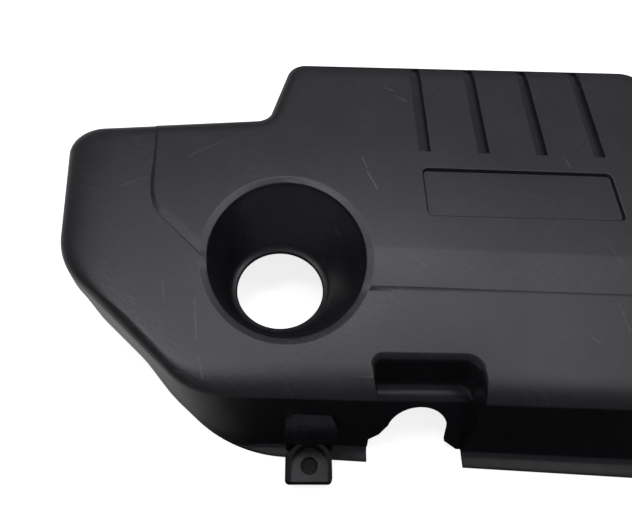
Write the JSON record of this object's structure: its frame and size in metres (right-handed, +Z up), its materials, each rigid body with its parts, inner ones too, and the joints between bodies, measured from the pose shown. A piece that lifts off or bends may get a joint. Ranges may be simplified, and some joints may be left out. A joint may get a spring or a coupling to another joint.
{
  "type": "engine cover",
  "caption": "Moulded black engine cover: a tall block with a lower wing, a filler funnel, back grooves, a shallow recess, a front pocket with an arch, and rubber ball grommets under it.",
  "frame": {"origin": "middle of the cover's outline, in the plane of its lower rim", "axes": "+X along the cover's length, from the wing to the tall block's right end; +Y to the back, towards the grooved wall; +Z up, from the rim to the top"},
  "size_m": [0.6241, 0.4341, 0.104],
  "materials": {
    "moulded_plastic": "fine grain, semi-matte",
    "grommet_rubber": "matte"
  },
  "bodies": {
    "root": {"cover_shell": "moulded_plastic", "grommet_lug": "grommet_rubber", "grommet_rear_left": "grommet_rubber", "grommet_rear_right": "grommet_rubber", "grommet_front_right": "grommet_rubber"}
  },
  "joints": []
}
